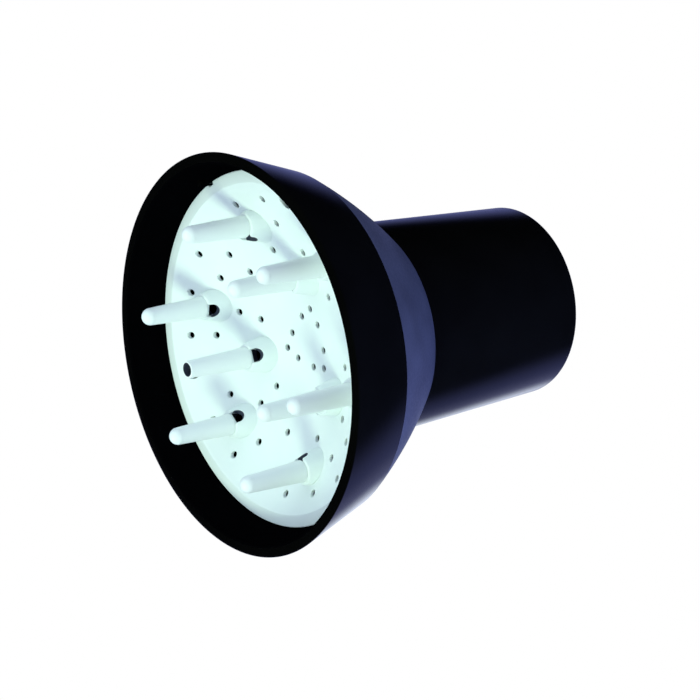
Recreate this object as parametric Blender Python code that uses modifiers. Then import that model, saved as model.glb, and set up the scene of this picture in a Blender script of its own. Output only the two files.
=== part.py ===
"""Hair dryer diffuser: a black bowl on a push-on sleeve, and a white perforated plate with nine hollow fingers.

Everything is modelled upright about a local Z axis, sleeve mouth at z = 0 and the bowl opening upwards.
One empty then lays that axis along the world's -Y, so the bowl faces -Y, the sleeve's mouth faces +Y and
the world's +Z is up. All sizes are in metres.
"""
import math

import bmesh
import bpy
from mathutils import Matrix, Vector

MM = 0.001
GAP = 0.3 * MM                        # clearance between pieces that touch
MERGE = 0.01 * MM

# Bowl
RIM_Z = 139.0 * MM                    # plane of the bowl's front rim
RIM_R = 75.0 * MM
RIM_INNER_R = 70.6 * MM
RIM_ROUND = 0.5 * MM
BAND_BACK_R = 65.8 * MM               # where the front band ends and the shoulder begins
BAND_BACK_Z = 110.2 * MM
SHOULDER_END_R = 41.6 * MM
SHOULDER_END_Z = 76.4 * MM
SHOULDER_BULGE = 1.0 * MM
BOWL_WALL = 2.2 * MM
NECK_R = 38.2 * MM                    # spigot inside the sleeve
NECK_BORE_R = 36.4 * MM
NECK_END_Z = 61.9 * MM
NECK_CHAMFER = 0.5 * MM

# Sleeve
SLEEVE_FRONT_R = 41.0 * MM
SLEEVE_MOUTH_R = 38.0 * MM
SLEEVE_WALL = 3.0 * MM
SLEEVE_FRONT_Z = SHOULDER_END_Z - GAP
SLEEVE_ROUND = 1.6 * MM
MOUTH_CHAMFER = 0.3 * MM
GROOVE_LOW_Z = 5.0 * MM
GROOVE_HIGH_Z = 17.0 * MM
GROOVE_R = 36.4 * MM

# Grip ring
GRIP_BORE_R = 33.6 * MM
GRIP_RIDGES = 3
GRIP_RIDGE_HEIGHT = 0.8 * MM

# Plate
FLANGE_Z = 124.0 * MM                 # front face of the plate's flat flange
FLANGE_R = 66.9 * MM
DISH_R = 62.2 * MM                    # where the dish meets the flange
DISH_DEPTH = 20.4 * MM
DISH_POWER = 2.2
PLATE_THICKNESS = 1.3 * MM
PLATE_TURN = 51.7                     # degrees from +X to the first outer finger
LEDGE_R = 64.4 * MM
SEAT_GAP = 0.3 * MM

# Rows of air holes: radius, number, angle of the first one from the first outer finger, steps left out
HOLE_R = 1.33 * MM
HOLE_SIDES = 8
HOLE_ROWS = (
    (9.8 * MM, 6, 0.0, ()),
    (13.2 * MM, 3, 30.0, ()),
    (26.4 * MM, 6, 0.0, ()),
    (36.3 * MM, 12, 0.0, ()),
    (46.0 * MM, 6, 15.0, ()),
    (46.0 * MM, 6, -15.0, ()),
    (46.0 * MM, 2, 90.0, ()),
    (55.7 * MM, 20, -9.0, (2, 9)),
)
PRY_HOLE_R = 2.5 * MM                 # three larger holes, used to lift the plate out
PRY_RING_R = 57.0 * MM

# Locating rib on the bowl and its notch in the flange
KEY_ANGLE = 120.0
KEY_WIDTH = 2.2 * MM
KEY_TOP_R = 66.0 * MM
NOTCH_WIDTH = 3.0 * MM
NOTCH_R = 65.6 * MM

# Bosses and fingers
OUTER_RING_R = 46.6 * MM
INNER_RING_R = 26.5 * MM
OUTER_BOSS_Z = 120.35 * MM            # front faces of the bosses
INNER_BOSS_Z = 115.1 * MM
BOSS_FRONT_R = 5.2 * MM
BOSS_BACK_R = 8.0 * MM
BOSS_DEPTH = 13.0 * MM
BOSS_FACE = 1.2 * MM                  # thickness of a boss's front wall
BOSS_CAVITY_FRONT_R = 3.7 * MM
BOSS_CAVITY_BACK_R = 5.4 * MM
VENT_R = 2.6 * MM
VENT_CENTRE_DEPTH = 1.6 * MM          # below the boss's face
VENT_NOTCH_R = 3.4 * MM               # how close the vent comes to the boss's axis in its front wall
VENT_THROAT_R = 2.4 * MM              # and below that wall
THROAT_NARROWING = 0.12 * MM
THROAT_OVERLAP = 0.15 * MM            # how far the throat cuts up into the front wall
FINGER_LENGTH = 27.0 * MM             # from the boss's face to the end of the tip
FINGER_BASE_R = 4.2 * MM
FINGER_TIP_R = 3.3 * MM
FINGER_BORE_R = 2.6 * MM
SPIGOT_R = 2.4 * MM
SPIGOT_BORE_R = 1.6 * MM
SPIGOT_LENGTH = 1.5 * MM
PLUG_R = FINGER_BORE_R - GAP
PLUG_LENGTH = 4.0 * MM
OPEN_FINGER = "finger_inner_3"        # the one finger whose end is open

LARGE_STEPS = 48
DISH_RINGS = 7
FINGER_STEPS = 16
BOSS_SIDES = 16


# ---------------------------------------------------------------- scene and helpers

def clear_scene():
    """Removes every object, so the script can be run again."""
    for obj in list(bpy.data.objects):
        bpy.data.objects.remove(obj, do_unlink=True)


def new_collection(name):
    """A fresh collection under the scene's root."""
    collection = bpy.data.collections.new(name)
    bpy.context.scene.collection.children.link(collection)
    return collection


def material(name, colour, roughness):
    """A Principled material for moulded plastic or rubber."""
    mat = bpy.data.materials.new(name)
    mat.use_nodes = True
    shader = mat.node_tree.nodes["Principled BSDF"]
    shader.inputs["Base Color"].default_value = (*colour, 1.0)
    shader.inputs["Roughness"].default_value = roughness
    shader.inputs["Metallic"].default_value = 0.0
    return mat


def empty(name, collection, parent=None):
    """A plain empty, which marks an axis."""
    obj = bpy.data.objects.new(name, None)
    collection.objects.link(obj)
    obj.parent = parent
    return obj


def add_object(name, mesh, collection, parent, mat=None):
    """Links a mesh into a collection under its parent."""
    obj = bpy.data.objects.new(name, mesh)
    collection.objects.link(obj)
    obj.parent = parent
    if mat:
        mesh.materials.append(mat)
    return obj


def turned(name, profile, closed, steps, collection, parent, mat=None):
    """A turned solid. The profile holds (radius, z) points, down the outer side first."""
    mesh = bpy.data.meshes.new(name)
    verts = [(r, 0.0, z) for r, z in profile]
    edges = [(i, i + 1) for i in range(len(verts) - 1)]
    if closed:
        edges.append((len(verts) - 1, 0))
    mesh.from_pydata(verts, edges, [])
    obj = add_object(name, mesh, collection, parent, mat)
    screw = obj.modifiers.new("turn", "SCREW")
    screw.axis = "Z"
    screw.steps = steps
    screw.render_steps = steps
    screw.use_merge_vertices = True
    screw.merge_threshold = MERGE
    screw.use_smooth_shade = True
    return obj


def shade(obj):
    """Keeps broad faces flat and round ones smooth. It changes normals only, never the shape."""
    modifier = obj.modifiers.new("shading", "WEIGHTED_NORMAL")
    modifier.keep_sharp = True


def boolean(obj, cutter, operation):
    """A live Boolean. The cutter stays in its own collection, drawn as wire."""
    cutter.hide_render = True
    cutter.display_type = "WIRE"
    modifier = obj.modifiers.new(cutter.name, "BOOLEAN")
    modifier.operation = operation
    modifier.solver = "EXACT"
    modifier.object = cutter


def arc(centre, radius, start, end, count):
    """Points on an arc, angles in degrees, both ends included."""
    points = []
    for i in range(count + 1):
        angle = math.radians(start + (end - start) * i / count)
        points.append((centre[0] + radius * math.cos(angle), centre[1] + radius * math.sin(angle)))
    return points


def bulged(start, end, bulge, count):
    """Points from start to end along a shallow parabola that stands out by bulge at its middle."""
    a = Vector(start)
    b = Vector(end)
    along = (b - a).normalized()
    out = Vector((-along.y, along.x))
    points = []
    for i in range(count + 1):
        t = i / count
        p = a.lerp(b, t) + out * (bulge * 4.0 * t * (1.0 - t))
        points.append((p.x, p.y))
    return points


def polar(radius, degrees):
    """x and y of a point at an angle around the local Z axis."""
    angle = math.radians(degrees)
    return radius * math.cos(angle), radius * math.sin(angle)


def add_cone(bm, x, y, low_z, high_z, low_r, high_r, sides):
    """Adds an upright cylinder or truncated cone to a bmesh."""
    middle = Matrix.Translation((x, y, (low_z + high_z) / 2))
    bmesh.ops.create_cone(bm, cap_ends=True, segments=sides, radius1=low_r, radius2=high_r,
                          depth=high_z - low_z, matrix=middle)


def mesh_object(name, bm, collection, parent):
    """Turns a bmesh into an object."""
    mesh = bpy.data.meshes.new(name)
    bm.to_mesh(mesh)
    bm.free()
    return add_object(name, mesh, collection, parent)


# ---------------------------------------------------------------- black parts

def bowl_profile():
    """The bowl's closed section: rim, band, shoulder, neck spigot, and back up the inside."""
    rim_out = arc((RIM_R - RIM_ROUND, RIM_Z - RIM_ROUND), RIM_ROUND, 90, 0, 2)
    shoulder = bulged((BAND_BACK_R, BAND_BACK_Z), (SHOULDER_END_R, SHOULDER_END_Z), SHOULDER_BULGE, 4)
    neck = [
        (NECK_R, SHOULDER_END_Z),
        (NECK_R, NECK_END_Z + NECK_CHAMFER),
        (NECK_R - NECK_CHAMFER, NECK_END_Z),
        (NECK_BORE_R, NECK_END_Z),
        (NECK_BORE_R, SHOULDER_END_Z - NECK_CHAMFER),
    ]
    inside_low = (SHOULDER_END_R - 1.6 * MM, SHOULDER_END_Z + 2.8 * MM)
    inside_high = (BAND_BACK_R - BOWL_WALL, BAND_BACK_Z + 1.0 * MM)
    inside = bulged(inside_low, inside_high, -SHOULDER_BULGE, 3)
    ledge_z = FLANGE_Z - PLATE_THICKNESS - SEAT_GAP
    seat = [
        (LEDGE_R, ledge_z),
        (FLANGE_R + GAP, ledge_z),
        (FLANGE_R + GAP, FLANGE_Z),
    ]
    rim_in = arc((RIM_INNER_R + RIM_ROUND, RIM_Z - RIM_ROUND), RIM_ROUND, 180, 90, 2)
    return rim_out + shoulder + neck + inside + seat + rim_in


def make_bowl(parts, cutters, parent, mat):
    """The bowl, with the rib that stops the plate from turning."""
    bowl = turned("bowl", bowl_profile(), True, LARGE_STEPS, parts, parent, mat)
    bm = bmesh.new()
    low_z = FLANGE_Z - PLATE_THICKNESS - 1.0 * MM
    high_z = FLANGE_Z + 5.0 * MM
    outer_r = FLANGE_R + 1.5 * MM
    size = Matrix.Diagonal((outer_r - KEY_TOP_R, KEY_WIDTH, high_z - low_z, 1.0))
    place = Matrix.Translation(((outer_r + KEY_TOP_R) / 2, 0.0, (high_z + low_z) / 2))
    turn = Matrix.Rotation(math.radians(KEY_ANGLE), 4, "Z")
    bmesh.ops.create_cube(bm, size=1.0, matrix=turn @ place @ size)
    rib = mesh_object("locating_rib_block", bm, cutters, parent)
    boolean(bowl, rib, "UNION")
    return bowl


def sleeve_outer_r(z):
    """The sleeve's tapered outside."""
    return SLEEVE_MOUTH_R + (SLEEVE_FRONT_R - SLEEVE_MOUTH_R) * z / SLEEVE_FRONT_Z


def make_sleeve(parts, parent, mat):
    """The push-on sleeve: it slips over the bowl's neck and has a groove for the grip ring."""
    neck_socket_r = NECK_R + GAP
    neck_step_z = NECK_END_Z - 0.4 * MM
    mouth_bore_r = SLEEVE_MOUTH_R - SLEEVE_WALL
    profile = [(SLEEVE_FRONT_R, SLEEVE_FRONT_Z)]
    profile += arc((sleeve_outer_r(SLEEVE_ROUND) - SLEEVE_ROUND, SLEEVE_ROUND), SLEEVE_ROUND, 0, -90, 3)
    profile += [
        (mouth_bore_r + MOUTH_CHAMFER, 0.0),
        (mouth_bore_r, MOUTH_CHAMFER),
        (mouth_bore_r, GROOVE_LOW_Z),
        (GROOVE_R, GROOVE_LOW_Z),
        (GROOVE_R, GROOVE_HIGH_Z),
        (mouth_bore_r, GROOVE_HIGH_Z),
        (sleeve_outer_r(neck_step_z) - SLEEVE_WALL, neck_step_z),
        (neck_socket_r, neck_step_z),
        (neck_socket_r, SLEEVE_FRONT_Z),
    ]
    return turned("sleeve", profile, True, LARGE_STEPS, parts, parent, mat)


def make_grip_ring(parts, parent, mat):
    """The soft ring in the sleeve's groove, with ridges that hold the dryer's barrel."""
    low_z = GROOVE_LOW_Z + GAP
    high_z = GROOVE_HIGH_Z - GAP
    outer_r = GROOVE_R - GAP
    profile = [(outer_r, high_z), (outer_r, low_z)]
    pitch = (high_z - low_z) / GRIP_RIDGES
    for i in range(GRIP_RIDGES):
        base_z = low_z + i * pitch
        profile.append((GRIP_BORE_R + GRIP_RIDGE_HEIGHT, base_z))
        profile.append((GRIP_BORE_R, base_z + pitch / 2))
    profile.append((GRIP_BORE_R + GRIP_RIDGE_HEIGHT, high_z))
    return turned("grip_ring", profile, True, LARGE_STEPS, parts, parent, mat)


# ---------------------------------------------------------------- plate

def dish_z(radius):
    """Height of the plate's front surface."""
    return FLANGE_Z - DISH_DEPTH * (1.0 - (radius / DISH_R) ** DISH_POWER)


def dish_back_points(count):
    """Points of the plate's back surface, from the axis outwards, square to the front surface."""
    points = []
    for i in range(count + 1):
        radius = DISH_R * i / count
        slope = DISH_DEPTH * DISH_POWER / DISH_R * (radius / DISH_R) ** (DISH_POWER - 1.0)
        normal = Vector((slope, -1.0)).normalized() * PLATE_THICKNESS
        points.append((radius + normal.x, dish_z(radius) + normal.y))
    return points


def finger_places():
    """Name, angle, ring radius and boss face height of the nine fingers."""
    places = []
    for i in range(6):
        places.append((f"finger_outer_{i + 1}", PLATE_TURN + 60 * i, OUTER_RING_R, OUTER_BOSS_Z))
    for i in range(3):
        places.append((f"finger_inner_{i + 1}", PLATE_TURN - 90 + 120 * i, INNER_RING_R, INNER_BOSS_Z))
    return places


def make_boss_cones(cutters, parent):
    """The nine bosses, as cones that reach down through the plate."""
    bm = bmesh.new()
    for _, degrees, ring_r, face_z in finger_places():
        x, y = polar(ring_r, degrees)
        add_cone(bm, x, y, face_z - BOSS_DEPTH, face_z, BOSS_BACK_R, BOSS_FRONT_R, BOSS_SIDES)
    return mesh_object("boss_cones", bm, cutters, parent)


def make_boss_cavities(cutters, parent):
    """The hollow inside each boss, open to the back."""
    bm = bmesh.new()
    for _, degrees, ring_r, face_z in finger_places():
        x, y = polar(ring_r, degrees)
        low_z = face_z - BOSS_DEPTH - 1.0 * MM
        add_cone(bm, x, y, low_z, face_z - BOSS_FACE, BOSS_CAVITY_BACK_R, BOSS_CAVITY_FRONT_R, BOSS_SIDES)
    return mesh_object("boss_cavities", bm, cutters, parent)


def make_sockets(cutters, parent):
    """The hole in each boss's face that takes a finger's spigot."""
    bm = bmesh.new()
    for _, degrees, ring_r, face_z in finger_places():
        x, y = polar(ring_r, degrees)
        radius = SPIGOT_R + GAP
        add_cone(bm, x, y, face_z - 2 * BOSS_FACE, face_z + BOSS_FACE, radius, radius, FINGER_STEPS)
    return mesh_object("finger_sockets", bm, cutters, parent)


def make_vents(name, near, cutters, parent):
    """The D-shaped vent in the side of each boss that faces the middle of the plate.

    Each is a cylinder that points at the plate's axis and starts at the distance near from the boss's own axis.
    The notches' front half is pushed out past the boss's face. The throats are a little narrower, and their
    front half is cut off at the boss's front wall.
    """
    bm = bmesh.new()
    is_throat = near == VENT_THROAT_R
    radius = VENT_R - THROAT_NARROWING if is_throat else VENT_R
    far = BOSS_BACK_R + 1.0 * MM
    for _, degrees, ring_r, face_z in finger_places():
        x, y = polar(ring_r, degrees)
        turn = Matrix.Rotation(math.radians(degrees), 4, "Z")
        lay = Matrix.Rotation(math.radians(-90), 4, "Y")
        place = Matrix.Translation((x, y, face_z - VENT_CENTRE_DEPTH))
        inward = Matrix.Translation((-(near + far) / 2, 0.0, 0.0))
        made = bmesh.ops.create_cone(bm, cap_ends=True, segments=BOSS_SIDES, radius1=radius,
                                     radius2=radius, depth=far - near,
                                     matrix=place @ turn @ inward @ lay)
        for vert in made["verts"]:
            if is_throat:
                vert.co.z = min(vert.co.z, face_z - BOSS_FACE + THROAT_OVERLAP)
            elif vert.co.z > face_z - VENT_CENTRE_DEPTH + MERGE:
                vert.co.z += 2 * VENT_CENTRE_DEPTH
    return mesh_object(name, bm, cutters, parent)


def make_air_holes(cutters, parent):
    """The rows of small air holes, and the three larger ones near the edge."""
    bm = bmesh.new()
    low_z = FLANGE_Z - DISH_DEPTH - 10.0 * MM
    high_z = FLANGE_Z + 5.0 * MM
    for ring_r, count, first, left_out in HOLE_ROWS:
        for i in range(count):
            if i in left_out:
                continue
            x, y = polar(ring_r, PLATE_TURN + first + 360.0 * i / count)
            add_cone(bm, x, y, low_z, high_z, HOLE_R, HOLE_R, HOLE_SIDES)
    for i in range(3):
        x, y = polar(PRY_RING_R, PLATE_TURN + 30 + 120 * i)
        add_cone(bm, x, y, low_z, high_z, PRY_HOLE_R, PRY_HOLE_R, 2 * HOLE_SIDES)
    return mesh_object("air_holes", bm, cutters, parent)


def make_key_notch(cutters, parent):
    """The notch in the flange that takes the bowl's locating rib."""
    bm = bmesh.new()
    outer_r = FLANGE_R + 2.0 * MM
    size = Matrix.Diagonal((outer_r - NOTCH_R, NOTCH_WIDTH, 4 * PLATE_THICKNESS, 1.0))
    place = Matrix.Translation(((outer_r + NOTCH_R) / 2, 0.0, FLANGE_Z - PLATE_THICKNESS))
    turn = Matrix.Rotation(math.radians(KEY_ANGLE), 4, "Z")
    bmesh.ops.create_cube(bm, size=1.0, matrix=turn @ place @ size)
    return mesh_object("key_notch", bm, cutters, parent)


def make_underside(cutters, parent):
    """The space behind the plate's back surface."""
    back = dish_back_points(DISH_RINGS)
    deep_z = FLANGE_Z - DISH_DEPTH - 30.0 * MM
    wide_r = FLANGE_R + 5.0 * MM
    profile = [(0.0, back[0][1])] + back[1:-1]
    profile += [
        (back[-1][0], FLANGE_Z - PLATE_THICKNESS),
        (wide_r, FLANGE_Z - PLATE_THICKNESS),
        (wide_r, deep_z),
        (0.0, deep_z),
    ]
    return turned("plate_underside", profile, False, LARGE_STEPS, cutters, parent)


def make_plate(parts, cutters, parent, mat):
    """The dished plate: a blank with bosses, carved from behind, then pierced."""
    radii = [DISH_R * i / DISH_RINGS for i in range(DISH_RINGS + 1)]
    front = [(radius, dish_z(radius)) for radius in radii]
    blank_z = FLANGE_Z - DISH_DEPTH - 5.0 * MM
    profile = front + [(FLANGE_R, FLANGE_Z), (FLANGE_R, blank_z), (0.0, blank_z)]
    plate = turned("finger_plate", profile, False, LARGE_STEPS, parts, parent, mat)
    boolean(plate, make_boss_cones(cutters, parent), "UNION")
    boolean(plate, make_underside(cutters, parent), "DIFFERENCE")
    boolean(plate, make_boss_cavities(cutters, parent), "DIFFERENCE")
    boolean(plate, make_sockets(cutters, parent), "DIFFERENCE")
    boolean(plate, make_vents("boss_vent_notches", VENT_NOTCH_R, cutters, parent), "DIFFERENCE")
    boolean(plate, make_vents("boss_vent_throats", VENT_THROAT_R, cutters, parent), "DIFFERENCE")
    boolean(plate, make_key_notch(cutters, parent), "DIFFERENCE")
    boolean(plate, make_air_holes(cutters, parent), "DIFFERENCE")
    return plate


# ---------------------------------------------------------------- fingers

def make_finger(name, length, parts, parent, mat):
    """A tapered tube on a spigot. z = 0 is its shoulder, which rests on the boss."""
    profile = [
        (FINGER_TIP_R, length),
        (FINGER_BASE_R, 0.0),
        (SPIGOT_R, 0.0),
        (SPIGOT_R, -SPIGOT_LENGTH),
        (SPIGOT_BORE_R, -SPIGOT_LENGTH),
        (SPIGOT_BORE_R, 1.5 * MM),
        (FINGER_BORE_R, 2.5 * MM),
        (FINGER_BORE_R, length),
    ]
    return turned(name, profile, True, FINGER_STEPS, parts, parent, mat)


def make_tip_cap(name, parts, parent, mat):
    """A domed cap on a plug. z = 0 is the dome's flat underside."""
    profile = arc((0.0, 0.0), FINGER_TIP_R, 90, 0, 4)
    profile[0] = (0.0, FINGER_TIP_R)
    profile += [(PLUG_R, 0.0), (PLUG_R, -PLUG_LENGTH), (0.0, -PLUG_LENGTH)]
    return turned(name, profile, False, FINGER_STEPS, parts, parent, mat)


def make_fingers(parts, parent, finger_mat, cap_mat):
    """Nine fingers, eight of them closed by a domed cap."""
    tube_length = FINGER_LENGTH - FINGER_TIP_R - 2 * GAP
    for name, degrees, ring_r, face_z in finger_places():
        x, y = polar(ring_r, degrees)
        is_open = name == OPEN_FINGER
        length = FINGER_LENGTH - GAP if is_open else tube_length
        finger = make_finger(name, length, parts, parent, finger_mat)
        finger.location = (x, y, face_z + GAP)
        if not is_open:
            cap = make_tip_cap(name.replace("finger", "tip_cap"), parts, parent, cap_mat)
            cap.location = (x, y, face_z + FINGER_LENGTH - FINGER_TIP_R)


def main():
    """Builds the whole diffuser."""
    clear_scene()
    parts = new_collection("dryer_diffuser")
    cutters = new_collection("dryer_diffuser_cutters")
    black = material("black_gloss", (0.006, 0.006, 0.009), 0.22)
    white = material("white_moulding", (0.86, 0.92, 0.92), 0.38)
    rubber = material("grip_rubber", (0.02, 0.02, 0.022), 0.7)

    axis = empty("diffuser_axis", cutters)
    axis.rotation_euler = (math.radians(90), 0.0, 0.0)
    slide = empty("plate_slide_axis", cutters, axis)

    make_bowl(parts, cutters, axis, black)
    make_sleeve(parts, axis, black)
    make_grip_ring(parts, axis, rubber)
    make_plate(parts, cutters, slide, white)
    make_fingers(parts, slide, white, white)
    for obj in parts.objects:
        shade(obj)


main()
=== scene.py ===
"""Dryer diffuser: fine surfaces and materials around the fixed CAD frame.

Turned pieces are drawn upright, as (radius, height) sections about a local Z axis with the sleeve's mouth at
height 0, and then laid along the world's -Y axis, which is where the CAD has them. Sizes are in metres.
"""
import math

import bmesh
import bpy
from mathutils import Matrix, Vector


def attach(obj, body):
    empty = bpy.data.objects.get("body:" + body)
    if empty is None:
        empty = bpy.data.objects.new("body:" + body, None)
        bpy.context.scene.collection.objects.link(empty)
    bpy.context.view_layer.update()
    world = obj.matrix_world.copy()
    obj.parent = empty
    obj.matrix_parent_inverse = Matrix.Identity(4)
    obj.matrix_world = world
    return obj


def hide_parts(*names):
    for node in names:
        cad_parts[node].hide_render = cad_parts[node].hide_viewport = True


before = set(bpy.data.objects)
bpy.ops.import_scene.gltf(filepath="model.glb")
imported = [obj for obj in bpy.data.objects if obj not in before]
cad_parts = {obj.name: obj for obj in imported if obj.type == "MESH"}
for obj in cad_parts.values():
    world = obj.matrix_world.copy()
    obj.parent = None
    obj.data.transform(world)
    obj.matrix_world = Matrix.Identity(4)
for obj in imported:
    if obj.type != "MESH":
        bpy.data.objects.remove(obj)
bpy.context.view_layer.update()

MM = 0.001
SHELL = "shell"
FINGER_SET = "finger_set"
GAP = 0.3 * MM                        # clearance between pieces that touch
TO_WORLD = Matrix.Rotation(math.radians(90), 4, "X")

# Sizes repeated from the CAD
RIM_Z = 139.0 * MM
RIM_R = 75.0 * MM
RIM_INNER_R = 70.6 * MM
BAND_BACK = (65.8 * MM, 110.2 * MM)
SHOULDER_END = (41.6 * MM, 76.4 * MM)
SHOULDER_BULGE = 1.0 * MM
INSIDE_LOW = (40.0 * MM, 79.2 * MM)
INSIDE_HIGH = (63.6 * MM, 111.2 * MM)
NECK_R = 38.2 * MM
NECK_BORE_R = 36.4 * MM
NECK_END_Z = 61.9 * MM
SLEEVE_FRONT_R = 41.0 * MM
SLEEVE_MOUTH_R = 38.0 * MM
SLEEVE_FRONT_Z = 76.1 * MM
SLEEVE_WALL = 3.0 * MM
SLEEVE_BORE_R = 35.0 * MM
SOCKET_R = 38.5 * MM
SOCKET_Z = 61.5 * MM
GROOVE_R = 36.4 * MM
GROOVE_LOW_Z = 5.0 * MM
GROOVE_HIGH_Z = 17.0 * MM
GRIP_BORE_R = 33.6 * MM
GRIP_RIDGE_HEIGHT = 0.8 * MM
GRIP_RIDGES = 3
FLANGE_Z = 124.0 * MM
FLANGE_R = 66.9 * MM
DISH_R = 62.2 * MM
DISH_DEPTH = 20.4 * MM
DISH_POWER = 2.2
PLATE_THICKNESS = 1.3 * MM
PLATE_TURN = 51.7
LEDGE_R = 64.4 * MM
HOLE_R = 1.33 * MM
HOLE_ROWS = (
    (9.8 * MM, 6, 0.0, ()),
    (13.2 * MM, 3, 30.0, ()),
    (26.4 * MM, 6, 0.0, ()),
    (36.3 * MM, 12, 0.0, ()),
    (46.0 * MM, 6, 15.0, ()),
    (46.0 * MM, 6, -15.0, ()),
    (46.0 * MM, 2, 90.0, ()),
    (55.7 * MM, 20, -9.0, (2, 9)),
)
PRY_HOLE_R = 2.5 * MM
PRY_RING_R = 57.0 * MM
KEY_ANGLE = 120.0
KEY_WIDTH = 2.2 * MM
NOTCH_WIDTH = 3.0 * MM
NOTCH_R = 65.6 * MM
RIB_DEPTH = 2.4 * MM
RIB_HEIGHT = 8.0 * MM
RIB_CENTRE_R = 67.2 * MM
RIB_CENTRE_Z = 125.0 * MM
OUTER_RING_R = 46.6 * MM
INNER_RING_R = 26.5 * MM
OUTER_BOSS_Z = 120.35 * MM
INNER_BOSS_Z = 115.1 * MM
BOSS_FRONT_R = 5.2 * MM
BOSS_BACK_R = 8.0 * MM
BOSS_DEPTH = 13.0 * MM
BOSS_FACE = 1.2 * MM                  # thickness of a boss's front wall
BOSS_EDGE = 0.8 * MM                  # rounding of its front edge
BOSS_SOCKET_R = 2.7 * MM
BOSS_CAVITY_FRONT_R = 3.7 * MM
BOSS_CAVITY_BACK_R = 5.4 * MM
VENT_R = 2.6 * MM
VENT_CENTRE_DEPTH = 1.6 * MM
VENT_NOTCH_R = 3.4 * MM
VENT_THROAT_R = 2.4 * MM
THROAT_NARROWING = 0.12 * MM
THROAT_OVERLAP = 0.15 * MM
FINGER_LENGTH = 27.0 * MM
FINGER_BASE_R = 4.2 * MM
FINGER_TIP_R = 3.3 * MM
FINGER_BORE_R = 2.6 * MM
SPIGOT_R = 2.4 * MM
SPIGOT_BORE_R = 1.6 * MM
SPIGOT_END = 1.4 * MM
SHOULDER_LIFT = 0.1 * MM              # the finger's shoulder above the boss
CAP_SEAM = 0.03 * MM
PLUG_R = 2.3 * MM
PLUG_LENGTH = 4.0 * MM

LARGE_STEPS = 288
DISH_STEPS = 192
DISH_RINGS = 36
FINGER_STEPS = 40


# ---------------------------------------------------------------- sections

def arc(centre, radius, start, end, count):
    """Points on an arc, angles in degrees, both ends included."""
    points = []
    for i in range(count + 1):
        angle = math.radians(start + (end - start) * i / count)
        points.append((centre[0] + radius * math.cos(angle), centre[1] + radius * math.sin(angle)))
    return points


def bulged(start, end, bulge, count):
    """Points from start to end along a shallow parabola."""
    a = Vector(start)
    b = Vector(end)
    along = (b - a).normalized()
    out = Vector((-along.y, along.x))
    return [tuple(a.lerp(b, i / count) + out * (bulge * 4 * (i / count) * (1 - i / count)))
            for i in range(count + 1)]


def filleted(points, radii, count=5):
    """A closed section with some of its corners rounded. radii maps a point's index to its radius."""
    result = []
    total = len(points)
    for i, point in enumerate(points):
        if i not in radii:
            result.append(tuple(point))
            continue
        corner = Vector(point)
        back = Vector(points[i - 1]) - corner
        ahead = Vector(points[(i + 1) % total]) - corner
        u = back.normalized()
        v = ahead.normalized()
        half = u.angle(v) / 2
        reach = min(radii[i] / math.tan(half), 0.45 * back.length, 0.45 * ahead.length)
        radius = reach * math.tan(half)
        centre = corner + (u + v).normalized() * (radius / math.sin(half))
        first = corner + u * reach - centre
        last = corner + v * reach - centre
        turn = first.angle_signed(last)
        for k in range(count + 1):
            result.append(tuple(centre + Matrix.Rotation(-turn * k / count, 2) @ first))
    return result


def polar(radius, degrees):
    """x and y of a point at an angle around the local Z axis."""
    angle = math.radians(degrees)
    return radius * math.cos(angle), radius * math.sin(angle)


# ---------------------------------------------------------------- mesh helpers

def lathe(section, steps, bm=None, offset=(0.0, 0.0, 0.0)):
    """Turns a closed section into a closed surface, added to a bmesh."""
    bm = bm or bmesh.new()
    rings = []
    for radius, height in section:
        if radius < 1e-7:
            rings.append([bm.verts.new((offset[0], offset[1], offset[2] + height))])
            continue
        ring = []
        for i in range(steps):
            x, y = polar(radius, 360.0 * i / steps)
            ring.append(bm.verts.new((offset[0] + x, offset[1] + y, offset[2] + height)))
        rings.append(ring)
    for a, b in zip(rings, rings[1:] + rings[:1]):
        for i in range(steps):
            j = (i + 1) % steps
            corners = [a[i % len(a)], a[j % len(a)], b[j % len(b)], b[i % len(b)]]
            unique = list(dict.fromkeys(corners))
            if len(unique) > 2:
                bm.faces.new(unique)
    return bm


def cone(bm, x, y, low_z, high_z, low_r, high_r, sides):
    """Adds an upright cylinder or truncated cone to a bmesh."""
    middle = Matrix.Translation((x, y, (low_z + high_z) / 2))
    bmesh.ops.create_cone(bm, cap_ends=True, segments=sides, radius1=low_r, radius2=high_r,
                          depth=high_z - low_z, matrix=middle)


def to_object(name, bm, materials=()):
    """Makes an object from a bmesh, with its faces pointing out."""
    bmesh.ops.recalc_face_normals(bm, faces=bm.faces)
    mesh = bpy.data.meshes.new(name)
    bm.to_mesh(mesh)
    bm.free()
    for mat in materials:
        mesh.materials.append(mat)
    obj = bpy.data.objects.new(name, mesh)
    bpy.context.scene.collection.objects.link(obj)
    return obj


def laid(obj, sharp=32.0):
    """Lays a finished piece along the world's -Y axis and shades it smooth, with crisp corners."""
    obj.data.transform(TO_WORLD)
    obj.data.shade_smooth()
    obj.data.set_sharp_from_angle(angle=math.radians(sharp))
    return obj


def carved(obj, steps):
    """Runs Boolean steps on a piece, then removes the cutters. steps holds (operation, cutter)."""
    for operation, cutter in steps:
        modifier = obj.modifiers.new(cutter.name, "BOOLEAN")
        modifier.operation = operation
        modifier.solver = "MANIFOLD"
        modifier.object = cutter
    evaluated = obj.evaluated_get(bpy.context.evaluated_depsgraph_get())
    mesh = bpy.data.meshes.new_from_object(evaluated)
    obj.modifiers.clear()
    obj.data = mesh
    for _, cutter in steps:
        bpy.data.objects.remove(cutter, do_unlink=True)


# ---------------------------------------------------------------- materials

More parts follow.
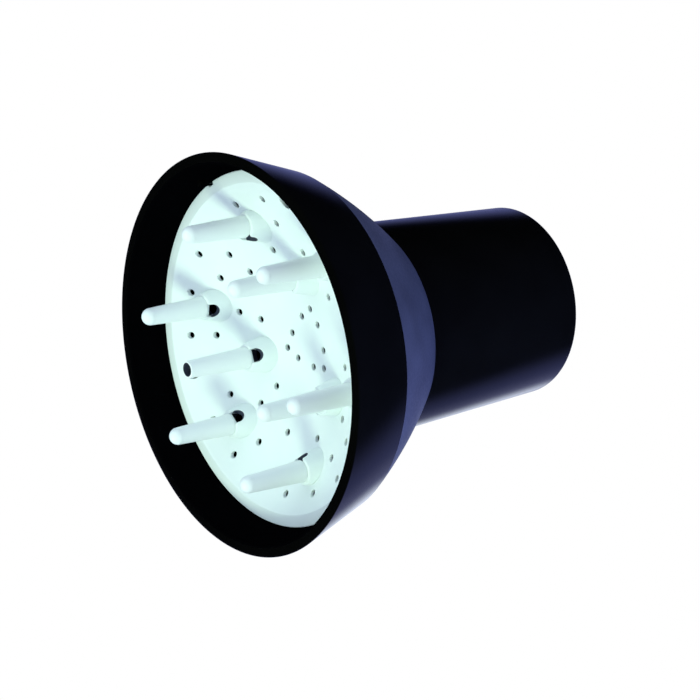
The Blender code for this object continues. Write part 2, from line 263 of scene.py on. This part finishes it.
class Nodes:
    """A small helper that adds and links shader nodes."""

    def __init__(self, name):
        self.mat = bpy.data.materials.new(name)
        self.mat.use_nodes = True
        self.tree = self.mat.node_tree
        self.shader = self.tree.nodes["Principled BSDF"]
        self.coords = self.add("ShaderNodeTexCoord").outputs["Object"]

    def add(self, kind, **settings):
        node = self.tree.nodes.new(kind)
        for key, value in settings.items():
            setattr(node, key, value)
        return node

    def link(self, source, target):
        self.tree.links.new(source, target)

    def noise(self, scale, detail=2.0, roughness=0.5, stretch=None):
        """A noise value in 0 to 1. stretch scales the pattern along X, Y and Z."""
        node = self.add("ShaderNodeTexNoise")
        node.inputs["Scale"].default_value = scale
        node.inputs["Detail"].default_value = detail
        node.inputs["Roughness"].default_value = roughness
        source = self.coords
        if stretch:
            mapping = self.add("ShaderNodeMapping")
            mapping.inputs["Scale"].default_value = stretch
            self.link(source, mapping.inputs["Vector"])
            source = mapping.outputs["Vector"]
        self.link(source, node.inputs["Vector"])
        return node.outputs["Fac"]

    def spread(self, value, low, high, from_low=0.3, from_high=0.7):
        """Maps a value to a range."""
        node = self.add("ShaderNodeMapRange")
        node.inputs["From Min"].default_value = from_low
        node.inputs["From Max"].default_value = from_high
        node.inputs["To Min"].default_value = low
        node.inputs["To Max"].default_value = high
        self.link(value, node.inputs["Value"])
        return node.outputs["Result"]

    def mix(self, factor, low, high):
        """Mixes two colours by a value."""
        node = self.add("ShaderNodeMix", data_type="RGBA")
        node.inputs[6].default_value = (*low, 1.0)
        node.inputs[7].default_value = (*high, 1.0)
        self.link(factor, node.inputs[0])
        return node.outputs[2]

    def bump(self, height, distance, strength=1.0, normal=None):
        """A bump from a height value."""
        node = self.add("ShaderNodeBump")
        node.inputs["Strength"].default_value = strength
        node.inputs["Distance"].default_value = distance
        self.link(height, node.inputs["Height"])
        if normal:
            self.link(normal, node.inputs["Normal"])
        return node.outputs["Normal"]

    def rounded_edges(self, radius):
        """Normals that soften every edge by a small radius."""
        node = self.add("ShaderNodeBevel", samples=6)
        node.inputs["Radius"].default_value = radius
        return node.outputs["Normal"]


def black_plastic(name, roughness, ripple, colour=(0.0009, 0.0009, 0.0009), gloss=0.5):
    """Black moulded plastic: a faint ripple, fine dust-like wear in the gloss, and slight colour drift."""
    nodes = Nodes(name)
    tint = tuple(2.2 * c for c in colour)
    nodes.link(nodes.mix(nodes.noise(60.0, 3.0), colour, tint), nodes.shader.inputs["Base Color"])
    wear = nodes.noise(900.0, 4.0, 0.7)
    nodes.link(nodes.spread(wear, 0.85 * roughness, 1.25 * roughness), nodes.shader.inputs["Roughness"])
    nodes.shader.inputs["Specular IOR Level"].default_value = gloss
    broad = nodes.bump(nodes.noise(45.0, 1.0), ripple)
    fine = nodes.bump(nodes.noise(1800.0, 2.0), 0.02 * MM, 0.25, broad)
    nodes.link(fine, nodes.shader.inputs["Normal"])
    return nodes.mat


def white_plastic(name, low, high, edge):
    """Satin white moulded plastic with soft mottling, a fine texture and softened edges."""
    nodes = Nodes(name)
    nodes.link(nodes.mix(nodes.noise(70.0, 4.0, 0.6), low, high), nodes.shader.inputs["Base Color"])
    nodes.link(nodes.spread(nodes.noise(500.0, 3.0), 0.3, 0.42), nodes.shader.inputs["Roughness"])
    soft = nodes.rounded_edges(edge)
    broad = nodes.bump(nodes.noise(40.0, 2.0), 0.25 * MM, 1.0, soft)
    fine = nodes.bump(nodes.noise(1500.0, 2.0), 0.02 * MM, 0.3, broad)
    nodes.link(fine, nodes.shader.inputs["Normal"])
    return nodes.mat


def rubber(name):
    """Dull black rubber with a fine grain."""
    nodes = Nodes(name)
    nodes.link(nodes.mix(nodes.noise(200.0, 3.0), (0.012, 0.012, 0.013), (0.024, 0.024, 0.026)),
               nodes.shader.inputs["Base Color"])
    nodes.link(nodes.spread(nodes.noise(700.0, 3.0), 0.62, 0.8), nodes.shader.inputs["Roughness"])
    nodes.link(nodes.bump(nodes.noise(2200.0, 3.0), 0.05 * MM, 0.5), nodes.shader.inputs["Normal"])
    return nodes.mat


BAND_GLOSS = black_plastic("band_gloss", 0.13, 0.04 * MM)
# Painted sheen: the shoulder's lighter, bluish colour stands in for light falling on it; the real plastic is
# as black as the band.
SHOULDER_SATIN_PAINTED_SHEEN = black_plastic("shoulder_satin_painted_sheen", 0.48, 0.06 * MM, (0.017, 0.019, 0.027), 1.0)
SLEEVE_GLOSS = black_plastic("sleeve_gloss", 0.16, 0.05 * MM)
# Painted shade: the inside's darker colour and lack of reflection stand in for the shade inside the bowl.
INSIDE_BLACK_PAINTED_SHADE = black_plastic("inside_black_painted_shade", 0.3, 0.05 * MM, (0.0004, 0.0004, 0.0006), 0.0)
GRIP_RUBBER = rubber("grip_rubber_grain")
PLATE_WHITE = white_plastic("plate_white_satin", (0.80, 0.87, 0.88), (0.86, 0.91, 0.91), 0.5 * MM)
# Dark stand-in for the shade inside the open bore and the bosses
BORE_SHADE = white_plastic("bore_shade", (0.03, 0.035, 0.06), (0.05, 0.055, 0.09), 0.1 * MM)
FINGER_WHITE = white_plastic("finger_white_satin", (0.84, 0.89, 0.89), (0.88, 0.92, 0.915), 0.25 * MM)


# ---------------------------------------------------------------- black pieces

def make_bowl():
    """The bowl: rounded lip, glossy band, satin shoulder, neck, ledge and locating rib."""
    shoulder = bulged(BAND_BACK, SHOULDER_END, SHOULDER_BULGE, 14)
    ledge_z = FLANGE_Z - PLATE_THICKNESS - GAP
    inside = bulged(INSIDE_LOW, INSIDE_HIGH, -SHOULDER_BULGE, 10)
    section = [(RIM_R, RIM_Z)] + shoulder
    neck_start = len(section)
    section += [
        (NECK_R, SHOULDER_END[1]),
        (NECK_R, NECK_END_Z),
        (NECK_BORE_R, NECK_END_Z),
        (NECK_BORE_R, SHOULDER_END[1] - 0.5 * MM),
    ]
    section += inside
    seat = len(section)
    section += [
        (LEDGE_R, ledge_z),
        (FLANGE_R + GAP, ledge_z),
        (FLANGE_R + GAP, FLANGE_Z),
        (RIM_INNER_R, RIM_Z),
    ]
    radii = {
        0: 0.35 * MM,
        1: 0.35 * MM,
        neck_start - 1: 0.3 * MM,
        neck_start + 1: 0.5 * MM,
        neck_start + 2: 0.4 * MM,
        neck_start + 3: 0.6 * MM,
        seat: 0.3 * MM,
        seat + 3: 0.9 * MM,
    }
    bowl = to_object("bowl_shell", lathe(filleted(section, radii), LARGE_STEPS),
                     (BAND_GLOSS, SHOULDER_SATIN_PAINTED_SHEEN, INSIDE_BLACK_PAINTED_SHADE))
    bm = bmesh.new()
    size = Matrix.Diagonal((RIB_DEPTH, KEY_WIDTH, RIB_HEIGHT, 1.0))
    place = Matrix.Translation((RIB_CENTRE_R, 0.0, RIB_CENTRE_Z))
    turn = Matrix.Rotation(math.radians(KEY_ANGLE), 4, "Z")
    bmesh.ops.create_cube(bm, size=1.0, matrix=turn @ place @ size)
    carved(bowl, [("UNION", to_object("rib_block", bm))])
    assign_bowl_materials(bowl.data)
    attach(laid(bowl), SHELL)
    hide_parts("bowl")


def assign_bowl_materials(mesh):
    """Gloss on the band and lip, satin on the shoulder with a lighter colour that is a painted sheen, and a
    darker, unreflective black inside that is painted shade.
    """
    for polygon in mesh.polygons:
        x, y, z = polygon.center
        radius = math.hypot(x, y)
        outward = polygon.normal.x * x + polygon.normal.y * y
        # Outer shoulder faces take the satin with the painted sheen; inward faces take the black with the
        # painted shade.
        if z < BAND_BACK[1] and outward > 0 and radius > 39 * MM:
            polygon.material_index = 1
        elif outward < -0.1 * radius:
            polygon.material_index = 2
        else:
            polygon.material_index = 0


def make_sleeve():
    """The tapered sleeve, with a rounded end and the groove for the grip ring."""
    def outer(z):
        return SLEEVE_MOUTH_R + (SLEEVE_FRONT_R - SLEEVE_MOUTH_R) * z / SLEEVE_FRONT_Z
    section = [
        (SLEEVE_FRONT_R, SLEEVE_FRONT_Z),
        (outer(0.0), 0.0),
        (SLEEVE_BORE_R, 0.0),
        (SLEEVE_BORE_R, GROOVE_LOW_Z),
        (GROOVE_R, GROOVE_LOW_Z),
        (GROOVE_R, GROOVE_HIGH_Z),
        (SLEEVE_BORE_R, GROOVE_HIGH_Z),
        (outer(SOCKET_Z) - SLEEVE_WALL, SOCKET_Z),
        (SOCKET_R, SOCKET_Z),
        (SOCKET_R, SLEEVE_FRONT_Z),
    ]
    radii = {0: 0.3 * MM, 1: 1.6 * MM, 2: 0.5 * MM, 3: 0.15 * MM, 6: 0.15 * MM}
    sleeve = to_object("sleeve_tube", lathe(filleted(section, radii), LARGE_STEPS), (SLEEVE_GLOSS,))
    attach(laid(sleeve), SHELL)
    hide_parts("sleeve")


def make_grip_ring():
    """The soft ring inside the sleeve's mouth, with three rounded ridges."""
    low_z = GROOVE_LOW_Z + GAP
    high_z = GROOVE_HIGH_Z - GAP
    outer_r = GROOVE_R - GAP
    section = [(outer_r, high_z), (outer_r, low_z)]
    count = 60
    for i in range(count + 1):
        t = i / count
        wave = 0.5 + 0.5 * math.cos(2 * math.pi * GRIP_RIDGES * t)
        section.append((GRIP_BORE_R + GRIP_RIDGE_HEIGHT * wave, low_z + (high_z - low_z) * t))
    ring = to_object("grip_ring_rubber", lathe(section, LARGE_STEPS), (GRIP_RUBBER,))
    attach(laid(ring, 60.0), SHELL)
    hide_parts("grip_ring")


# ---------------------------------------------------------------- plate

def dish_z(radius):
    """Height of the plate's front surface."""
    return FLANGE_Z - DISH_DEPTH * (1.0 - (radius / DISH_R) ** DISH_POWER)


def dish_back(count):
    """Points of the plate's back surface, from the axis outwards."""
    points = []
    for i in range(count + 1):
        radius = DISH_R * i / count
        slope = DISH_DEPTH * DISH_POWER / DISH_R * (radius / DISH_R) ** (DISH_POWER - 1.0)
        normal = Vector((slope, -1.0)).normalized() * PLATE_THICKNESS
        points.append((radius + normal.x, dish_z(radius) + normal.y))
    points[0] = (0.0, points[0][1])
    return points


def finger_places():
    """Name, angle, ring radius and boss face height of the nine fingers."""
    places = [(f"outer_{i + 1}", PLATE_TURN + 60 * i, OUTER_RING_R, OUTER_BOSS_Z) for i in range(6)]
    places += [(f"inner_{i + 1}", PLATE_TURN - 90 + 120 * i, INNER_RING_R, INNER_BOSS_Z) for i in range(3)]
    return places


def plate_blank():
    """The plate's blank: its true front, and a flat block behind."""
    front = [(DISH_R * i / DISH_RINGS, dish_z(DISH_R * i / DISH_RINGS)) for i in range(DISH_RINGS + 1)]
    blank_z = FLANGE_Z - DISH_DEPTH - 5.0 * MM
    rounding = 0.4 * MM
    edge = arc((FLANGE_R - rounding, FLANGE_Z - rounding), rounding, 90, 0, 4)
    return lathe(front + edge + [(FLANGE_R, blank_z), (0.0, blank_z)], DISH_STEPS)


def plate_underside():
    """The space behind the plate."""
    back = dish_back(24)
    deep_z = FLANGE_Z - DISH_DEPTH - 30.0 * MM
    wide_r = FLANGE_R + 5.0 * MM
    section = back[:-1] + [
        (back[-1][0], FLANGE_Z - PLATE_THICKNESS),
        (wide_r, FLANGE_Z - PLATE_THICKNESS),
        (wide_r, deep_z),
        (0.0, deep_z),
    ]
    return lathe(section, DISH_STEPS)


def boss_solids():
    """Nine bosses with a rounded front edge."""
    bm = bmesh.new()
    for _, degrees, ring_r, face_z in finger_places():
        x, y = polar(ring_r, degrees)
        section = [(0.0, 0.0), (BOSS_FRONT_R, 0.0), (BOSS_BACK_R, -BOSS_DEPTH), (0.0, -BOSS_DEPTH)]
        lathe(filleted(section, {1: BOSS_EDGE}), 48, bm, (x, y, face_z))
    return bm


def boss_cavities():
    """The hollow in each boss, and the socket in its front wall."""
    bm = bmesh.new()
    for _, degrees, ring_r, face_z in finger_places():
        x, y = polar(ring_r, degrees)
        deep_z = -BOSS_DEPTH - 1.0 * MM
        section = [
            (0.0, 1.0 * MM),
            (BOSS_SOCKET_R, 1.0 * MM),
            (BOSS_SOCKET_R, -BOSS_FACE),
            (BOSS_CAVITY_FRONT_R, -BOSS_FACE),
            (BOSS_CAVITY_BACK_R, deep_z),
            (0.0, deep_z),
        ]
        lathe(section, 40, bm, (x, y, face_z))
    return bm


def boss_vents(near):
    """The D-shaped vents in the sides of the bosses: a notch in the front wall, or the throat below it."""
    bm = bmesh.new()
    is_throat = near == VENT_THROAT_R
    radius = VENT_R - THROAT_NARROWING if is_throat else VENT_R
    far = BOSS_BACK_R + 1.0 * MM
    for _, degrees, ring_r, face_z in finger_places():
        x, y = polar(ring_r, degrees)
        turn = Matrix.Rotation(math.radians(degrees), 4, "Z")
        lay = Matrix.Rotation(math.radians(-90), 4, "Y")
        place = Matrix.Translation((x, y, face_z - VENT_CENTRE_DEPTH))
        inward = Matrix.Translation((-(near + far) / 2, 0.0, 0.0))
        made = bmesh.ops.create_cone(bm, cap_ends=True, segments=40, radius1=radius, radius2=radius,
                                     depth=far - near, matrix=place @ turn @ inward @ lay)
        for vert in made["verts"]:
            if is_throat:
                vert.co.z = min(vert.co.z, face_z - BOSS_FACE + THROAT_OVERLAP)
            elif vert.co.z > face_z - VENT_CENTRE_DEPTH + 0.01 * MM:
                vert.co.z += 2 * VENT_CENTRE_DEPTH
    return bm


def air_holes():
    """The rows of air holes, and the three larger ones near the edge."""
    bm = bmesh.new()
    low_z = FLANGE_Z - DISH_DEPTH - 10.0 * MM
    high_z = FLANGE_Z + 5.0 * MM
    for ring_r, count, first, left_out in HOLE_ROWS:
        for i in range(count):
            if i not in left_out:
                x, y = polar(ring_r, PLATE_TURN + first + 360.0 * i / count)
                cone(bm, x, y, low_z, high_z, HOLE_R, HOLE_R, 28)
    for i in range(3):
        x, y = polar(PRY_RING_R, PLATE_TURN + 30 + 120 * i)
        cone(bm, x, y, low_z, high_z, PRY_HOLE_R, PRY_HOLE_R, 36)
    return bm


def key_notch():
    """The notch in the flange that takes the bowl's rib."""
    bm = bmesh.new()
    outer_r = FLANGE_R + 2.0 * MM
    size = Matrix.Diagonal((outer_r - NOTCH_R, NOTCH_WIDTH, 4 * PLATE_THICKNESS, 1.0))
    place = Matrix.Translation(((outer_r + NOTCH_R) / 2, 0.0, FLANGE_Z - PLATE_THICKNESS))
    turn = Matrix.Rotation(math.radians(KEY_ANGLE), 4, "Z")
    bmesh.ops.create_cube(bm, size=1.0, matrix=turn @ place @ size)
    return bm


def shade_boss_hollows(mesh):
    """Gives the hollows inside the bosses a dark material, which stands in for the shade there."""
    places = [(*polar(ring_r, degrees), face_z) for _, degrees, ring_r, face_z in finger_places()]
    for polygon in mesh.polygons:
        polygon.material_index = 0
        for x, y, face_z in places:
            from_axis = Vector((polygon.center.x - x, polygon.center.y - y))
            inward = from_axis.dot(polygon.normal.xy) < 0
            below_face = polygon.center.z < face_z - BOSS_FACE + 0.1 * MM
            if from_axis.length < BOSS_CAVITY_BACK_R + 0.1 * MM and inward and below_face:
                polygon.material_index = 1


def make_plate():
    """The dished plate, carved from its blank as the CAD does it."""
    plate = to_object("plate_dished", plate_blank(), (PLATE_WHITE, BORE_SHADE))
    carved(plate, [
        ("UNION", to_object("cut_bosses", boss_solids())),
        ("DIFFERENCE", to_object("cut_underside", plate_underside())),
        ("DIFFERENCE", to_object("cut_cavities", boss_cavities())),
        ("DIFFERENCE", to_object("cut_notches", boss_vents(VENT_NOTCH_R))),
        ("DIFFERENCE", to_object("cut_throats", boss_vents(VENT_THROAT_R))),
        ("DIFFERENCE", to_object("cut_notch", key_notch())),
        ("DIFFERENCE", to_object("cut_holes", air_holes())),
    ])
    shade_boss_hollows(plate.data)
    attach(laid(plate), FINGER_SET)
    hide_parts("finger_plate")


# ---------------------------------------------------------------- fingers

def make_fingers():
    """Nine tapered tubes; eight are closed by a domed cap."""
    seam = FINGER_LENGTH - FINGER_TIP_R
    for name, degrees, ring_r, face_z in finger_places():
        x, y = polar(ring_r, degrees)
        is_open = name == "inner_3"
        length = FINGER_LENGTH if is_open else seam - CAP_SEAM
        section = [
            (FINGER_TIP_R, length),
            (FINGER_BASE_R, SHOULDER_LIFT),
            (SPIGOT_R, SHOULDER_LIFT),
            (SPIGOT_R, -SPIGOT_END),
            (SPIGOT_BORE_R, -SPIGOT_END),
            (SPIGOT_BORE_R, 1.5 * MM),
            (FINGER_BORE_R, 2.5 * MM),
            (FINGER_BORE_R, length),
        ]
        radii = {0: 0.35 * MM, 7: 0.2 * MM} if is_open else {}
        bm = lathe(filleted(section, radii), FINGER_STEPS, offset=(x, y, face_z))
        finger = to_object(f"finger_{name}_tube", bm, (FINGER_WHITE, BORE_SHADE))
        # Painted shade: the bore's inner faces take BORE_SHADE, a dark material that stands in for the shade
        # in the bore; the real bore is white plastic.
        for polygon in finger.data.polygons:
            from_axis = Vector((polygon.center.x - x, polygon.center.y - y))
            if from_axis.length < FINGER_BORE_R + 0.1 * MM and from_axis.dot(polygon.normal.xy) < 0:
                polygon.material_index = 1
        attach(laid(finger), FINGER_SET)
        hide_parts(f"finger_{name}")
        if is_open:
            continue
        dome = arc((0.0, 0.0), FINGER_TIP_R, 90, 0, 12)
        dome[0] = (0.0, FINGER_TIP_R)
        section = dome + [(PLUG_R, 0.0), (PLUG_R, -PLUG_LENGTH), (0.0, -PLUG_LENGTH)]
        cap = to_object(f"tip_{name}_dome", lathe(section, FINGER_STEPS, offset=(x, y, face_z + seam)),
                        (FINGER_WHITE,))
        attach(laid(cap), FINGER_SET)
        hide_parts(f"tip_cap_{name}")


# ---------------------------------------------------------------- stage, light and camera

CAMERA_PLACE = Vector((0.5790, -0.5411, 0.1952))
CAMERA_TURN = (math.radians(74.694), 0.0, math.radians(51.691))
CAMERA_LENS = 102.857


def make_camera():
    """The camera, at the picture's angle."""
    data = bpy.data.cameras.new("camera")
    data.lens = CAMERA_LENS
    data.sensor_width = 36.0
    data.clip_end = 50.0
    camera = bpy.data.objects.new("camera", data)
    camera.location = CAMERA_PLACE
    camera.rotation_euler = CAMERA_TURN
    bpy.context.scene.collection.objects.link(camera)
    bpy.context.scene.camera = camera


def make_world():
    """A white surround, which is dark on the camera's side of the studio for reflections."""
    world = bpy.data.worlds.new("studio")
    bpy.context.scene.world = world
    world.use_nodes = True
    tree = world.node_tree
    tree.nodes.clear()
    output = tree.nodes.new("ShaderNodeOutputWorld")
    background = tree.nodes.new("ShaderNodeBackground")
    tree.links.new(background.outputs["Background"], output.inputs["Surface"])
    coords = tree.nodes.new("ShaderNodeTexCoord")
    dot = tree.nodes.new("ShaderNodeVectorMath")
    dot.operation = "DOT_PRODUCT"
    dot.inputs[1].default_value = BRIGHT_SIDE
    tree.links.new(coords.outputs["Generated"], dot.inputs[0])
    ramp = tree.nodes.new("ShaderNodeValToRGB")
    ramp.color_ramp.interpolation = "EASE"
    for element, (place, colour) in zip(ramp_stops(ramp.color_ramp, len(GLOSS_STOPS)), GLOSS_STOPS):
        element.position = place
        element.color = (*colour, 1.0)
    tree.links.new(dot.outputs["Value"], ramp.inputs["Fac"])
    paths = tree.nodes.new("ShaderNodeLightPath")
    diffuse = tree.nodes.new("ShaderNodeMix")
    diffuse.data_type = "RGBA"
    diffuse.inputs[7].default_value = (*AMBIENT, 1.0)
    tree.links.new(paths.outputs["Is Diffuse Ray"], diffuse.inputs[0])
    tree.links.new(ramp.outputs["Color"], diffuse.inputs[6])
    seen = tree.nodes.new("ShaderNodeMix")
    seen.data_type = "RGBA"
    seen.inputs[7].default_value = (1.0, 1.0, 1.0, 1.0)
    tree.links.new(paths.outputs["Is Camera Ray"], seen.inputs[0])
    tree.links.new(diffuse.outputs[2], seen.inputs[6])
    tree.links.new(seen.outputs[2], background.inputs["Color"])


def ramp_stops(ramp, count):
    """The ramp's stops, as many as asked for."""
    while len(ramp.elements) < count:
        ramp.elements.new(0.5)
    return list(ramp.elements)


BRIGHT_SIDE = (-0.662, 0.523, -0.537)
GLOSS_STOPS = (
    (0.0, (0.0, 0.0, 0.0)),
    (0.5, (0.0, 0.0, 0.0)),
    (0.78, (0.14, 0.16, 0.42)),
    (0.92, (0.24, 0.26, 0.52)),
    (1.0, (1.1, 1.2, 1.45)),
)
AMBIENT = (0.60, 0.70, 0.92)
KEY_COLOUR = (0.74, 1.0, 0.66)


def add_sun(name, towards, strength, angle, colour=KEY_COLOUR):
    """A distant soft light. towards points from the diffuser to the light."""
    data = bpy.data.lights.new(name, "SUN")
    data.energy = strength
    data.angle = math.radians(angle)
    data.color = colour
    sun = bpy.data.objects.new(name, data)
    sun.rotation_euler = Vector(towards).to_track_quat("Z", "Y").to_euler()
    sun.visible_glossy = False
    bpy.context.scene.collection.objects.link(sun)


def make_lights():
    """A key low in front on the right, a softer fill high in front on the left, and a violet light behind."""
    add_sun("key", (0.6, -1.0, -0.5), 1.65, 16.0)
    add_sun("fill", (0.0, -1.0, 0.6), 0.75, 60.0)
    add_sun("behind", (0.72, 0.60, -0.5), 11.0, 40.0, (0.34, 0.42, 1.0))


def make_floor():
    """A plain white floor below the diffuser, seen but not reflected."""
    bm = bmesh.new()
    bmesh.ops.create_grid(bm, x_segments=1, y_segments=1, size=8.0, matrix=Matrix.Translation((0, 0, -0.2)))
    mat = bpy.data.materials.new("floor_white")
    mat.use_nodes = True
    mat.node_tree.nodes.clear()
    output = mat.node_tree.nodes.new("ShaderNodeOutputMaterial")
    glow = mat.node_tree.nodes.new("ShaderNodeEmission")
    glow.inputs["Color"].default_value = (1.0, 1.0, 1.0, 1.0)
    mat.node_tree.links.new(glow.outputs["Emission"], output.inputs["Surface"])
    floor = to_object("floor", bm, (mat,))
    floor.visible_diffuse = False
    floor.visible_glossy = False
    floor.visible_shadow = False


make_camera()
make_world()
make_lights()
make_floor()
make_bowl()
make_sleeve()
make_grip_ring()
make_plate()
make_fingers()

bpy.context.scene.view_settings.view_transform = "Standard"
